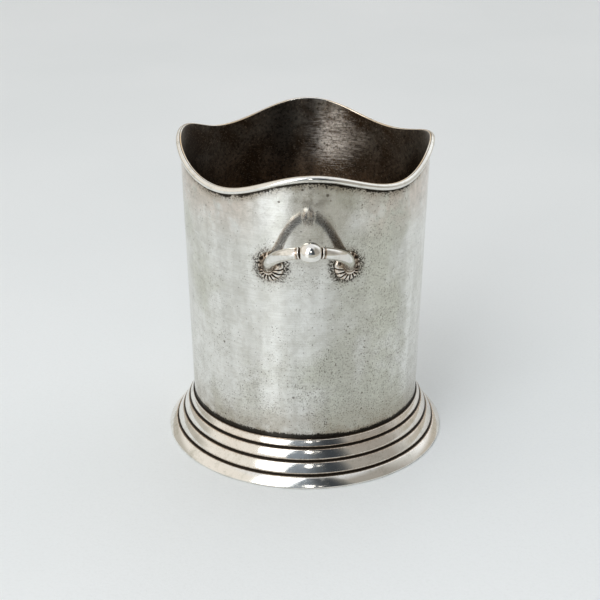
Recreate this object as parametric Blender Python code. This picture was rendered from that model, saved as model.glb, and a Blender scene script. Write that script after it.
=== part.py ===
"""Champagne bucket: a sheet-metal drum with a waved, wired mouth on a stepped foot.

A fixed bow handle stands on two fluted bosses at the front and another at the back. Each bow is two arms
that meet in a bead, with a collar on each side of it.

Metres, +Z up. The origin is on the table under the middle of the foot. The handles are at -Y and +Y.
"""

import math

import bmesh
import bpy
from mathutils import Matrix, Vector

MM = 0.001
GAP = 0.3 * MM  # clearance kept where two pieces meet
SEGMENTS = 80  # facets round every turned piece, so that neighbours stay parallel

# Drum: a sheet cone, a little wider at the mouth than at the foot.
DRUM_LOW_RADIUS = 85.7 * MM
DRUM_LOW_HEIGHT = 30.9 * MM
DRUM_HIGH_RADIUS = 90.4 * MM
DRUM_HIGH_HEIGHT = 226.5 * MM
DRUM_SHEET = 1.0 * MM
DRUM_BOTTOM = 23.3 * MM

# Mouth: a crest over each handle and each side, with troughs between, as (azimuth in degrees, height). The
# wave was cut by hand, so it isn't quite even.
MOUTH_TURNS = (
    (-133.4, 218.3 * MM),
    (-89.3, 233.8 * MM),
    (-45.0, 219.9 * MM),
    (-5.5, 234.5 * MM),
    (44.4, 219.8 * MM),
    (86.5, 234.5 * MM),
    (129.1, 220.3 * MM),
    (170.5, 235.1 * MM),
)

# Rim wire: half round, soldered round the outside of the mouth.
WIRE_PROUD = 2.6 * MM
WIRE_HEIGHT = 4.3 * MM
WIRE_ABOVE_EDGE = 0.3 * MM
WIRE_ARC_STEPS = 7

# Floor: a flat disc inside the drum, resting with it on the foot's ledge.
FLOOR_THICKNESS = 1.2 * MM
FLOOR_EDGE_BEVEL = 0.3 * MM

# Foot: a spun ring. Each corner is where one rolled step ends and the next begins, as (radius, height).
FOOT_SHEET = 1.2 * MM
FOOT_BORE_RADIUS = 86.05 * MM
FOOT_CORNERS = (
    (86.5 * MM, 31.4 * MM),
    (89.6 * MM, 25.0 * MM),
    (94.1 * MM, 16.6 * MM),
    (99.3 * MM, 7.8 * MM),
    (105.6 * MM, 0.6 * MM),
)
FOOT_TOP_ROUND = 0.6 * MM
FOOT_OUTER_STEPS = 4
FOOT_INNER_STEPS = 2
HEM_OUTER_RADIUS = 105.3 * MM
HEM_INNER_RADIUS = 102.6 * MM
LEDGE_INNER_RADIUS = 84.0 * MM
LEDGE_TOP = DRUM_BOTTOM - GAP

# Handle: half an oval that leans up from the bosses, seen in the frame of the handle at -Y.
BOW_HALF_SPAN = 27.5 * MM
BOW_SQUARENESS = 2.45  # 2 is an ellipse, and more gives the bow fuller shoulders
BOW_ROOT_HEIGHT = 166.8 * MM
BOW_RISE = 24.4 * MM
BEAD_RADIUS = 7.2 * MM
BEAD_CLEAR_OF_WALL = 31.0 * MM  # from the drum to the middle of the bead
ARM_ROOT_RADIUS = 4.2 * MM
ARM_TIP_RADIUS = 3.9 * MM
ARM_TIP_GAP = 0.7 * MM  # wider than GAP, as the bow bends between the collar and the arm
ARM_ROOT_GAP = 0.4 * MM
ARM_POINTS = 11
ARM_SIDES = 12
COLLAR_RADIUS = 4.4 * MM
COLLAR_THICKNESS = 1.3 * MM
COLLAR_BEVEL = 0.35 * MM
COLLAR_SIDES = 20

# Boss: a fluted dome, taller than wide, with a round stub near its middle that the arm carries on from.
BOSS_HALF_SPAN = 26.3 * MM
BOSS_HALF_WIDTH = 9.6 * MM
BOSS_HALF_HEIGHT = 10.9 * MM
BOSS_DOME = 3.6 * MM
BOSS_SKIRT = 2.4 * MM  # how far the uncut boss reaches into the drum before it is saddled to fit
BOSS_FLUTES = 16
FLUTE_DEPTH = 0.7 * MM
BOSS_RINGS = 4
STUB_LENGTH = 7.0 * MM
STUB_BURIED = 5.0 * MM


def drum_radius(height):
    """Outer radius of the drum's cone at a height."""
    share = (height - DRUM_LOW_HEIGHT) / (DRUM_HIGH_HEIGHT - DRUM_LOW_HEIGHT)
    return DRUM_LOW_RADIUS + share * (DRUM_HIGH_RADIUS - DRUM_LOW_RADIUS)


def mouth_height(azimuth):
    """Height of the drum's edge at an azimuth in radians: a cosine between each crest and trough."""
    first, last = MOUTH_TURNS[0], MOUTH_TURNS[-1]
    turns = [(last[0] - 360, last[1]), *MOUTH_TURNS, (first[0] + 360, first[1])]
    degrees = math.degrees(azimuth)
    for (start, low), (end, high) in zip(turns, turns[1:]):
        if start <= degrees <= end:
            ease = (1 - math.cos(math.pi * (degrees - start) / (end - start))) / 2
            return low + (high - low) * ease
    raise ValueError(f"azimuth {degrees} is outside -180 to 180")


def clear_scene():
    for obj in list(bpy.data.objects):
        bpy.data.objects.remove(obj)


def metal(name, colour, roughness):
    """A metallic Principled material."""
    made = bpy.data.materials.new(name)
    made.use_nodes = True
    shader = made.node_tree.nodes["Principled BSDF"]
    shader.inputs["Base Color"].default_value = (*colour, 1)
    shader.inputs["Roughness"].default_value = roughness
    shader.inputs["Metallic"].default_value = 1.0
    return made


def place(name, mesh, material):
    """Links a mesh as a named object, smooth but for its sharp edges."""
    obj = bpy.data.objects.new(name, mesh)
    bpy.context.scene.collection.objects.link(obj)
    mesh.materials.append(material)
    mesh.shade_smooth()
    mesh.set_sharp_from_angle(angle=math.radians(35))
    return obj


def finished(bm, name):
    """A mesh from a bmesh, with its faces pointing out."""
    bmesh.ops.recalc_face_normals(bm, faces=bm.faces)
    mesh = bpy.data.meshes.new(name)
    bm.to_mesh(mesh)
    bm.free()
    return mesh


def turned(profile):
    """A bmesh of a closed (radius, height) outline spun once round Z."""
    bm = bmesh.new()
    ring = [bm.verts.new((radius, 0, height)) for radius, height in profile]
    edges = [bm.edges.new((a, b)) for a, b in zip(ring, ring[1:] + ring[:1])]
    bmesh.ops.spin(
        bm,
        geom=ring + edges,
        cent=(0, 0, 0),
        axis=(0, 0, 1),
        angle=math.tau,
        steps=SEGMENTS,
        use_merge=True,
    )
    return bm


def set_round_z(vert, radius, height):
    """Moves a vertex to a radius and height, keeping its azimuth."""
    azimuth = math.atan2(vert.co.y, vert.co.x)
    vert.co = (radius * math.cos(azimuth), radius * math.sin(azimuth), height)


def rolled_step(start, end, steps):
    """Points of a quarter ellipse that leaves start level and comes down upright on end."""
    points = []
    for i in range(1, steps + 1):
        angle = math.pi / 2 * i / steps
        radius = start[0] + (end[0] - start[0]) * math.sin(angle)
        height = end[1] + (start[1] - end[1]) * math.cos(angle)
        points.append((radius, height))
    return points


def make_drum(material):
    """The rolled wall. The upper ring of a plain cone is raised to the wave of the mouth."""
    top = min(height for _, height in MOUTH_TURNS)
    bottom_radius, top_radius = drum_radius(DRUM_BOTTOM), drum_radius(top)
    bm = turned(
        [
            (bottom_radius - DRUM_SHEET, DRUM_BOTTOM),
            (bottom_radius, DRUM_BOTTOM),
            (top_radius, top),
            (top_radius - DRUM_SHEET, top),
        ]
    )
    for vert in bm.verts:
        if vert.co.z < top - MM:
            continue
        azimuth = math.atan2(vert.co.y, vert.co.x)
        height = mouth_height(azimuth)
        inward = top_radius - math.hypot(vert.co.x, vert.co.y)
        set_round_z(vert, drum_radius(height) - inward, height)
    return place("body_drum", finished(bm, "body_drum"), material)


def make_rim_wire(material):
    """The half-round wire round the mouth, following its wave."""
    base = DRUM_HIGH_RADIUS
    profile = []
    for i in range(WIRE_ARC_STEPS + 1):
        angle = -math.pi / 2 + math.pi * i / WIRE_ARC_STEPS
        profile.append((base + WIRE_PROUD * math.cos(angle), WIRE_HEIGHT / 2 * math.sin(angle)))
    bm = turned(profile)
    for vert in bm.verts:
        across = math.hypot(vert.co.x, vert.co.y) - base
        edge = mouth_height(math.atan2(vert.co.y, vert.co.x))
        height = edge + WIRE_ABOVE_EDGE - WIRE_HEIGHT / 2 + vert.co.z
        set_round_z(vert, drum_radius(height) + GAP + across, height)
    return place("rim_wire", finished(bm, "rim_wire"), material)


def make_floor(material):
    """The flat bottom of the bucket."""
    bm = bmesh.new()
    radius = drum_radius(DRUM_BOTTOM) - DRUM_SHEET - GAP
    bmesh.ops.create_cone(
        bm,
        cap_ends=True,
        segments=SEGMENTS,
        radius1=radius,
        radius2=radius,
        depth=FLOOR_THICKNESS,
    )
    rims = [e for e in bm.edges if abs(e.verts[0].co.z - e.verts[1].co.z) < GAP]
    bmesh.ops.bevel(bm, geom=rims, offset=FLOOR_EDGE_BEVEL, segments=1, affect="EDGES")
    middle = DRUM_BOTTOM + FLOOR_THICKNESS / 2
    bmesh.ops.translate(bm, verts=bm.verts, vec=(0, 0, middle))
    return place("floor_disc", finished(bm, "floor_disc"), material)


def make_foot(material):
    """The spun foot: collar and rolled steps outside, one sheet thick, with a ledge and a turned-in hem."""
    top_radius, top_height = FOOT_CORNERS[0]
    outside = [(FOOT_BORE_RADIUS, top_height - FOOT_TOP_ROUND), (top_radius, top_height)]
    for start, end in zip(FOOT_CORNERS, FOOT_CORNERS[1:]):
        outside += rolled_step(start, end, FOOT_OUTER_STEPS)
    hem = [
        (HEM_OUTER_RADIUS, 0),
        (HEM_INNER_RADIUS, 0),
        (HEM_INNER_RADIUS, FOOT_SHEET),
    ]
    inner_corners = [(r - FOOT_SHEET, h - FOOT_SHEET) for r, h in FOOT_CORNERS[1:-1]]
    inner_corners.append((FOOT_CORNERS[-1][0] - FOOT_SHEET, FOOT_SHEET))
    inside = []
    for start, end in zip(inner_corners, inner_corners[1:]):
        inside += rolled_step(start, end, FOOT_INNER_STEPS)
    ledge_bottom = LEDGE_TOP - FOOT_SHEET
    ledge = [
        (inner_corners[0][0], ledge_bottom),
        (LEDGE_INNER_RADIUS, ledge_bottom),
        (LEDGE_INNER_RADIUS, LEDGE_TOP),
        (FOOT_BORE_RADIUS, LEDGE_TOP),
    ]
    profile = outside + hem + inside[::-1] + ledge
    return place("stepped_foot", finished(turned(profile), "stepped_foot"), material)


def make_cutter(name, bm):
    """A helper object that only Boolean modifiers use."""
    obj = bpy.data.objects.new(name, finished(bm, name))
    bpy.context.scene.collection.objects.link(obj)
    obj.hide_render = True
    obj.display_type = "WIRE"
    return obj


def make_saddle_cutter():
    """The drum's cone grown by the gap, which hollows the backs of the bosses."""
    low, high = BOW_ROOT_HEIGHT - 2 * BOSS_HALF_HEIGHT, BOW_ROOT_HEIGHT + 2 * BOSS_HALF_HEIGHT
    profile = [
        (drum_radius(low) + GAP, low),
        (drum_radius(high) + GAP, high),
        (DRUM_LOW_RADIUS / 2, high),
        (DRUM_LOW_RADIUS / 2, low),
    ]
    return make_cutter("saddle_cutter", turned(profile))


def bow_point(angle):
    """The bow's centreline at an angle from 0, at the right boss, to pi, at the left one."""
    root_out = math.sqrt(drum_radius(BOW_ROOT_HEIGHT) ** 2 - BOW_HALF_SPAN**2)
    bead_height = BOW_ROOT_HEIGHT + BOW_RISE
    reach = drum_radius(bead_height) + BEAD_CLEAR_OF_WALL - root_out
    across, along = (
        math.copysign(abs(share) ** (2 / BOW_SQUARENESS), share)
        for share in (math.cos(angle), math.sin(angle))
    )
    height = BOW_ROOT_HEIGHT + BOW_RISE * along
    return Vector((BOW_HALF_SPAN * across, -(root_out + reach * along), height))


def bow_angle(centre, distance):
    """The angle on the right arm, from 0 to pi/2, at which the bow is this far from one of its ends."""
    low, high = 0.0, math.pi / 2
    growing = (bow_point(high) - centre).length > (bow_point(low) - centre).length
    for _ in range(40):
        middle = (low + high) / 2
        beyond = (bow_point(middle) - centre).length > distance
        if beyond == growing:
            high = middle
        else:
            low = middle
    return (low + high) / 2


def bow_frame(angle):
    """A place on the bow whose Z runs along it, towards the bead on the right arm."""
    small = 0.001
    tangent = (bow_point(angle + small) - bow_point(angle - small)).normalized()
    turn = Vector((0, 0, 1)).rotation_difference(tangent).to_matrix().to_4x4()
    return Matrix.Translation(bow_point(angle)) @ turn


def boss_frame():
    """Where the right boss sits: its X goes round the drum, its Z out from the wall."""
    radius = drum_radius(BOW_ROOT_HEIGHT)
    azimuth = math.asin(BOSS_HALF_SPAN / radius)
    outward = Vector((math.sin(azimuth), -math.cos(azimuth), 0))
    up = Vector((0, 0, 1))
    turn = Matrix((up.cross(outward), up, outward)).transposed().to_4x4()
    return Matrix.Translation(outward * radius + up * BOW_ROOT_HEIGHT) @ turn


def side_matrix(side, turn_about):
    """Mirrors the right-hand pieces to the left for side -1, and turns the handle to its end of the drum."""
    return Matrix.Rotation(turn_about, 4, "Z") @ Matrix.Diagonal((side, 1, 1, 1))


def make_dome(matrix):
    """A bmesh of the fluted dome, with a skirt that reaches into the drum."""
    bm = bmesh.new()
    sides = BOSS_FLUTES * 3
    rings = []
    for level in range(BOSS_RINGS):
        tilt = math.pi / 2 * level / BOSS_RINGS
        ring = []
        for i in range(sides):
            angle = math.tau * i / sides
            groove = FLUTE_DEPTH if i % 3 == 0 else 0
            x = (BOSS_HALF_WIDTH - groove) * math.cos(tilt) * math.cos(angle)
            y = (BOSS_HALF_HEIGHT - groove) * math.cos(tilt) * math.sin(angle)
            ring.append(bm.verts.new((x, y, (BOSS_DOME - groove) * math.sin(tilt))))
        rings.append(ring)
    skirt = [bm.verts.new((v.co.x, v.co.y, -BOSS_SKIRT)) for v in rings[0]]
    bm.faces.new(skirt)
    for lower, upper in zip([skirt, *rings], rings):
        for i in range(sides):
            following = (i + 1) % sides
            bm.faces.new((lower[i], lower[following], upper[following], upper[i]))
    peak = bm.verts.new((0, 0, BOSS_DOME))
    for i in range(sides):
        bm.faces.new((rings[-1][i], rings[-1][(i + 1) % sides], peak))
    bmesh.ops.transform(bm, matrix=matrix, verts=bm.verts)
    return bm


def make_boss(name, material, matrix, root, cutter):
    """The dome, joined with the stub of its arm and saddled to the drum."""
    boss = place(name, finished(make_dome(matrix @ boss_frame()), name), material)
    stub_bm = bmesh.new()
    bmesh.ops.create_cone(
        stub_bm,
        cap_ends=True,
        segments=ARM_SIDES,
        radius1=ARM_ROOT_RADIUS,
        radius2=ARM_ROOT_RADIUS,
        depth=STUB_LENGTH + STUB_BURIED,
    )
    middle = Matrix.Translation((0, 0, -(STUB_LENGTH + STUB_BURIED) / 2))
    bmesh.ops.transform(stub_bm, matrix=matrix @ bow_frame(root) @ middle, verts=stub_bm.verts)
    stub = make_cutter(f"{name}_stub", stub_bm)
    for operation, other in (("UNION", stub), ("DIFFERENCE", cutter)):
        modifier = boss.modifiers.new(operation.lower(), "BOOLEAN")
        modifier.operation = operation
        modifier.object = other


def make_arm(name, material, matrix, start, end):
    """One arm of the bow: a round bar that thins towards the bead."""
    curve = bpy.data.curves.new(name, "CURVE")
    curve.dimensions = "3D"
    curve.bevel_depth = ARM_ROOT_RADIUS
    curve.bevel_resolution = (ARM_SIDES - 4) // 2
    curve.use_fill_caps = True
    spline = curve.splines.new("POLY")
    spline.points.add(ARM_POINTS - 1)
    for i, point in enumerate(spline.points):
        share = i / (ARM_POINTS - 1)
        point.co = (*(matrix @ bow_point(start + (end - start) * share)), 1)
        point.radius = 1 + share * (ARM_TIP_RADIUS / ARM_ROOT_RADIUS - 1)
    obj = bpy.data.objects.new(name, curve)
    bpy.context.scene.collection.objects.link(obj)
    curve.materials.append(material)
    return obj


def make_collar(name, material, matrix, angle):
    """A turned washer between an arm's tip and the bead, square to the bow."""
    bm = bmesh.new()
    bmesh.ops.create_cone(
        bm,
        cap_ends=True,
        segments=COLLAR_SIDES,
        radius1=COLLAR_RADIUS,
        radius2=COLLAR_RADIUS,
        depth=COLLAR_THICKNESS,
    )
    rims = [e for e in bm.edges if abs(e.verts[0].co.z - e.verts[1].co.z) < GAP]
    bmesh.ops.bevel(bm, geom=rims, offset=COLLAR_BEVEL, segments=2, affect="EDGES")
    bmesh.ops.transform(bm, matrix=matrix @ bow_frame(angle), verts=bm.verts)
    return place(name, finished(bm, name), material)


def make_bead(name, material, matrix):
    """The ball at the middle of the bow."""
    bm = bmesh.new()
    bmesh.ops.create_uvsphere(
        bm,
        u_segments=24,
        v_segments=14,
        radius=BEAD_RADIUS,
        matrix=matrix @ Matrix.Translation(bow_point(math.pi / 2)),
    )
    return place(name, finished(bm, name), material)


def make_handle(end, turn_about, material, cutter):
    """All the pieces of one handle, named after the end of the bucket that it is on."""
    bead = bow_point(math.pi / 2)
    collar = bow_angle(bead, BEAD_RADIUS + GAP + COLLAR_THICKNESS / 2)
    tip = bow_angle(bead, BEAD_RADIUS + GAP + COLLAR_THICKNESS + ARM_TIP_GAP)
    stub_end = bow_angle(bow_point(0), STUB_LENGTH)
    root = bow_angle(bow_point(0), STUB_LENGTH + ARM_ROOT_GAP)
    make_bead(f"{end}_bead", material, side_matrix(1, turn_about))
    for side_name, side in (("left", -1), ("right", 1)):
        matrix = side_matrix(side, turn_about)
        make_boss(f"{end}_{side_name}_boss", material, matrix, stub_end, cutter)
        make_arm(f"{end}_{side_name}_arm", material, matrix, root, tip)
        make_collar(f"{end}_{side_name}_collar", material, matrix, collar)


def main():
    clear_scene()
    sheet = metal("plated_sheet", (0.66, 0.64, 0.59), 0.32)
    wire = metal("plated_wire", (0.78, 0.76, 0.70), 0.22)
    foot = metal("plated_foot", (0.70, 0.66, 0.60), 0.24)
    floor = metal("tarnished_floor", (0.12, 0.09, 0.06), 0.55)
    handle = metal("plated_handle", (0.74, 0.71, 0.65), 0.22)
    make_drum(sheet)
    make_rim_wire(wire)
    make_floor(floor)
    make_foot(foot)
    cutter = make_saddle_cutter()
    make_handle("front", 0.0, handle, cutter)
    make_handle("back", math.pi, handle, cutter)


main()
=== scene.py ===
"""The looks of a champagne bucket in aged silver plate.

A drum with a waved and wired mouth stands on a stepped foot and has two bow handles. Everything is in metres
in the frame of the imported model, with the handles at -Y and +Y. The shapes that show are rebuilt finely here,
on the sizes of the CAD nodes that they stand for.
"""

import math

import bmesh
import bpy
import numpy as np
from mathutils import Matrix, Vector, noise


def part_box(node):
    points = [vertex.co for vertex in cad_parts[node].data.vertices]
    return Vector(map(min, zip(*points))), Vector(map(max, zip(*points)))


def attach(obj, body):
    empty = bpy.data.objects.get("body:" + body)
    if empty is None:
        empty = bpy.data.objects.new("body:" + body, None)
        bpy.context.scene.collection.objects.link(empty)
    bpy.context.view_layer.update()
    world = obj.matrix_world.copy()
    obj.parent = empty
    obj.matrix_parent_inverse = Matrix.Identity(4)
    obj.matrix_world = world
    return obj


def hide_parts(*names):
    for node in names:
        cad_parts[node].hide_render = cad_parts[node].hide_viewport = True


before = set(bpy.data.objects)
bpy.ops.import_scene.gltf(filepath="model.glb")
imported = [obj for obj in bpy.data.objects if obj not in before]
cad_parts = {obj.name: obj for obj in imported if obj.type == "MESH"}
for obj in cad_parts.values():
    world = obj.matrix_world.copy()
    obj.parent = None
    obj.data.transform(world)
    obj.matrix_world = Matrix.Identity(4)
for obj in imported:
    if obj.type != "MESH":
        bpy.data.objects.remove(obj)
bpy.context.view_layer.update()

MM = 0.001
TURN = 2 * math.pi

# Drum and mouth
SHEET = 1.0 * MM
WALL_COLUMNS = 400
WALL_OUTER_ROWS = 90
WALL_INNER_ROWS = 70
LIP_STEPS = 6
MOUTH_SAMPLES = 256
MOUTH_HARMONICS = 14
DENT_DEPTH = 0.07 * MM
DENT_SIZE = 42 * MM

# Rim wire: half an oval outside, and a flat top that rounds over the edge of the sheet
WIRE_COLUMNS = 480
WIRE_ABOVE_EDGE = 0.3 * MM
WIRE_HALF_HEIGHT = 2.15 * MM
WIRE_PROUD = 2.85 * MM
WIRE_CENTRE = 0.6 * MM  # of its oval, out from the wall
LIP_ROUND = 0.55 * MM
EDGE_UNDER_WIRE = 0.5 * MM  # how far the sheet's own edge stops below the CAD's
WIRE_SEAM = (0.15 * MM, WIRE_ABOVE_EDGE - 0.35 * MM)  # where its top meets the sheet, as (out, up)
WIRE_STEPS = 24
WIRE_LIP_STEPS = 8
WIRE_DENT_DEPTH = 0.06 * MM
WIRE_DENT_SIZE = 11 * MM

# Inner floor
FLOOR_COLUMNS = 180
FLOOR_RING = 0.62  # of its radius, where the worked ring runs
FLOOR_RING_HALF_WIDTH = 1.2 * MM
FLOOR_RING_DEPTH = 0.25 * MM
SOLDER = ((-3.0, 0.0), (-1.4, 0.3), (-0.3, 1.4), (0.3, 2.0))  # in its corner, as mm from the wall and up

# Foot: the dark grooves between its rolled steps, as (radius, height)
FOOT_COLUMNS = 360
FOOT_GROOVES = ((89.6 * MM, 25.0 * MM), (94.1 * MM, 16.6 * MM), (99.3 * MM, 7.8 * MM))
FOOT_BASE = (105.6 * MM, 1.3 * MM)
FOOT_COLLAR_TOP = (87.0 * MM, 30.0 * MM)
FOOT_LIP_BULGE = 0.4 * MM
FOOT_LIP_STEPS = 8
# The foot's turned-in hem, as mm in from its edge and mm up
FOOT_HEM = ((0.05, 0.6), (0.35, 0.12), (0.8, 0), (2.9, 0), (3.0, 0.9), (2.2, 1.7))
FOOT_LEDGE_BORE = 84.0 * MM
FOOT_SHEET = 1.2 * MM
BAND_BULGE = 0.42 * MM
BASE_BULGE = 0.35 * MM
COLLAR_BULGE = 0.15 * MM
GROOVE_HALF_WIDTH = 0.95 * MM
GROOVE_DEPTH = 1.0 * MM
GROOVE_ROUND = 0.5 * MM
BAND_STEPS = 16
FOOT_DENT_DEPTH = 0.05 * MM
FOOT_DENT_SIZE = 16 * MM
FOOT_EVEN_INSIDE = 88 * MM

# Handle, in the frame of the one at -Y: half an oval that leans up, from boss to boss
BOW_HALF_SPAN = 27.5 * MM
BOW_SQUARENESS = 2.45
BOW_ROOT_HEIGHT = 166.8 * MM
ARM_ROOT_RADIUS = 4.35 * MM
ARM_TIP_RADIUS = 4.0 * MM
ARM_FLARE = 0.9 * MM
ARM_FLARE_SHARE = 0.16  # of its length
ROOT_DEPTH = 0.55 * MM  # how far the castings reach into the sheet
BOSS_HALF_SPAN = 26.3 * MM
BOSS_HALF_WIDTH = 9.6 * MM
BOSS_HALF_HEIGHT = 10.9 * MM
BOSS_DOME = 3.5 * MM
BOSS_SKIRT = 0.7 * MM
FLUTES = 15
FLUTE_DEPTH = 0.9 * MM
FLUTE_CENTRE = (1.2 * MM, -1.7 * MM)  # on the boss, at the foot of the arm
CAST_VOXEL = 0.28 * MM
BEAD_REACH = 8.1 * MM  # half length of the full olive, of which the bead keeps the middle
COLLAR_RADIUS = 4.3 * MM
COLLAR_HALF = 0.65 * MM
ARM_START = -0.06  # the bow angle where it starts, inside the wall
ARM_RINGS = 60
ARM_SIDES = 40
BOSS_RINGS = 14
BOSS_SIDES = 96
BOSS_SKIRT_TILT = -0.2
MELT_SMOOTHINGS = 7
BOW_SAMPLES = 160
BOW_HALVINGS = 40
BEAD_RINGS = 45
COLLAR_RINGS = 13
TURNED_COLUMNS = 72


# ---- what the frame says ----


def cad_points(node):
    """The vertices of a CAD node."""
    return np.array([v.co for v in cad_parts[node].data.vertices], float)


def read_cone():
    """(slope, radius at height 0) of the outside of the CAD drum."""
    points = cad_points("body_drum")
    radius, height = np.hypot(points[:, 0], points[:, 1]), points[:, 2]
    low = height < height.min() + MM
    high = np.argmax(np.where(height > height.max() - MM, radius, 0))
    slope = (radius[high] - radius[low].max()) / (height[high] - height.min())
    return slope, radius[high] - slope * height[high]


def read_mouth():
    """The CAD drum's mouth as Fourier terms of its height, so that it can be drawn smoothly."""
    points = cad_points("body_drum")
    points = points[points[:, 2] > points[:, 2].mean()]
    azimuth = np.arctan2(points[:, 1], points[:, 0])
    order = np.argsort(azimuth)
    even = np.linspace(-math.pi, math.pi, MOUTH_SAMPLES, endpoint=False)
    heights = np.interp(even, azimuth[order], points[order, 2], period=TURN)
    return np.fft.rfft(heights)[:MOUTH_HARMONICS] / MOUTH_SAMPLES


CONE_SLOPE, CONE_RADIUS = read_cone()
MOUTH = read_mouth()
DRUM_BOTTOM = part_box("body_drum")[0].z
FLOOR_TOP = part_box("floor_disc")[1].z
FOOT_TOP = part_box("stepped_foot")[1].z
BEAD_LOW, BEAD_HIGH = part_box("front_bead")
BEAD_CENTRE = (BEAD_LOW + BEAD_HIGH) / 2
BEAD_RADIUS = (BEAD_HIGH.z - BEAD_LOW.z) / 2


def drum_radius(height):
    return CONE_RADIUS + CONE_SLOPE * height


def wall_out(across):
    """How far out the wall is at a distance to the side, at the height of the bow's roots."""
    return math.sqrt(drum_radius(BOW_ROOT_HEIGHT) ** 2 - across**2)


def all_round(columns):
    """Even azimuths all the way round."""
    return np.linspace(-math.pi, math.pi, columns, endpoint=False)


def mouth_height(azimuth):
    """Height of the wall's edge at each azimuth of an array."""
    phase = azimuth + math.pi
    terms = [2 * np.real(term * np.exp(1j * k * phase)) for k, term in enumerate(MOUTH) if k]
    return MOUTH[0].real + sum(terms)


def dent(points, depth, size, seed):
    """A gentle unevenness at each point of an array of any shape, from -depth to depth."""
    flat = points.reshape(-1, 3) / size + seed
    values = [noise.noise(Vector(p)) for p in flat]
    return depth * np.array(values).reshape(points.shape[:-1])


# ---- mesh code ----


def set_attribute(mesh, name, values):
    layer = mesh.attributes.new(name, "FLOAT", "POINT")
    layer.data.foreach_set("value", np.asarray(values, np.float32).ravel())


def grid_mesh(name, points, closed=True, **attributes):
    """A mesh of rows x columns points. Columns join round into rings; rows do too if closed."""
    rows, columns = points.shape[:2]
    index = np.arange(rows * columns).reshape(rows, columns)
    lower = index if closed else index[:-1]
    upper = np.roll(index, -1, 0) if closed else index[1:]
    faces = np.stack(
        [lower, np.roll(lower, -1, 1), np.roll(upper, -1, 1), upper], axis=-1
    ).reshape(-1, 4)
    mesh = bpy.data.meshes.new(name)
    mesh.from_pydata(points.reshape(-1, 3).tolist(), [], faces.tolist())
    for key, values in attributes.items():
        set_attribute(mesh, key, np.broadcast_to(values, (rows, columns)))
    return finished(mesh)


def finished(mesh):
    """Merges poles, faces the mesh outwards and shades it smooth."""
    bm = bmesh.new()
    bm.from_mesh(mesh)
    bmesh.ops.remove_doubles(bm, verts=bm.verts, dist=0.001 * MM)
    bmesh.ops.recalc_face_normals(bm, faces=bm.faces)
    bm.to_mesh(mesh)
    bm.free()
    mesh.shade_smooth()
    return mesh


def ring_points(radius, height, azimuth):
    """Points at radius and height, arrays that broadcast to rows x columns."""
    radius, height, azimuth = np.broadcast_arrays(radius, height, azimuth)
    return np.stack([radius * np.cos(azimuth), radius * np.sin(azimuth), height], axis=-1)


def add_piece(name, mesh, slot, nodes, *materials):
    """Links a mesh as a piece that stands for CAD nodes and rides on the one body."""
    piece = bpy.data.objects.new(name, mesh)
    bpy.context.scene.collection.objects.link(piece)
    for material in materials:
        mesh.materials.append(material)
    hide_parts(*nodes)
    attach(piece, "root")


def arc(start, end, bulge, steps):
    """Points of a circular arc between two (radius, height) points that swells outwards by bulge."""
    a, b = np.array(start), np.array(end)
    chord = b - a
    length = np.hypot(*chord)
    out = np.array([-chord[1], chord[0]]) / length
    radius = length**2 / (8 * bulge) + bulge / 2
    half = math.asin(length / 2 / radius)
    middle = (a + b) / 2 + out * (bulge - radius)
    along = chord / length
    angles = np.linspace(-half, half, steps + 1)
    return [tuple(middle + radius * (along * math.sin(t) + out * math.cos(t))) for t in angles]


# ---- material code ----


class Nodes:
    """Builds a node tree; each method adds a node and returns its output."""

    def __init__(self, tree):
        self.tree = tree

    def add(self, kind, **settings):
        node = self.tree.nodes.new(kind)
        for key, value in settings.items():
            setattr(node, key, value)
        return node

    def feed(self, socket, value):
        if isinstance(value, bpy.types.NodeSocket):
            self.tree.links.new(value, socket)
        else:
            socket.default_value = value

    def math(self, operation, *values):
        node = self.add("ShaderNodeMath", operation=operation)
        for socket, value in zip(node.inputs, values):
            self.feed(socket, value)
        return node.outputs[0]

    def chain(self, operation, values):
        result = values[0]
        for value in values[1:]:
            result = self.math(operation, result, value)
        return result

    def total(self, *values):
        return self.chain("ADD", values)

    def product(self, *values):
        return self.chain("MULTIPLY", values)

    def maximum(self, *values):
        return self.chain("MAXIMUM", values)

    def xyz(self, vector):
        node = self.add("ShaderNodeSeparateXYZ")
        self.feed(node.inputs[0], vector)
        return node.outputs

    def between(self, value, low, high, out_low=0.0, out_high=1.0):
        """value eased from low..high to out_low..out_high."""
        node = self.add("ShaderNodeMapRange", interpolation_type="SMOOTHSTEP")
        self.feed(node.inputs["Value"], value)
        node.inputs["From Min"].default_value = low
        node.inputs["From Max"].default_value = high
        self.feed(node.inputs["To Min"], out_low)
        self.feed(node.inputs["To Max"], out_high)
        return node.outputs["Result"]

    def mix(self, share, first, second):
        """A colour that runs from first to second."""
        node = self.add("ShaderNodeMix", data_type="RGBA")
        self.feed(node.inputs[0], share)
        for socket, value in ((node.inputs[6], first), (node.inputs[7], second)):
            self.feed(socket, (*value, 1) if isinstance(value, tuple) else value)
        return node.outputs[2]

    def ramp(self, value, stops):
        """A colour that runs through (value, colour) stops."""
        node = self.add("ShaderNodeValToRGB")
        self.feed(node.inputs[0], value)
        elements = node.color_ramp.elements
        while len(elements) < len(stops):
            elements.new(0.5)
        for element, (position, colour) in zip(elements, stops):
            element.position = position
            element.color = (*colour, 1)
        return node.outputs[0]


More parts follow.
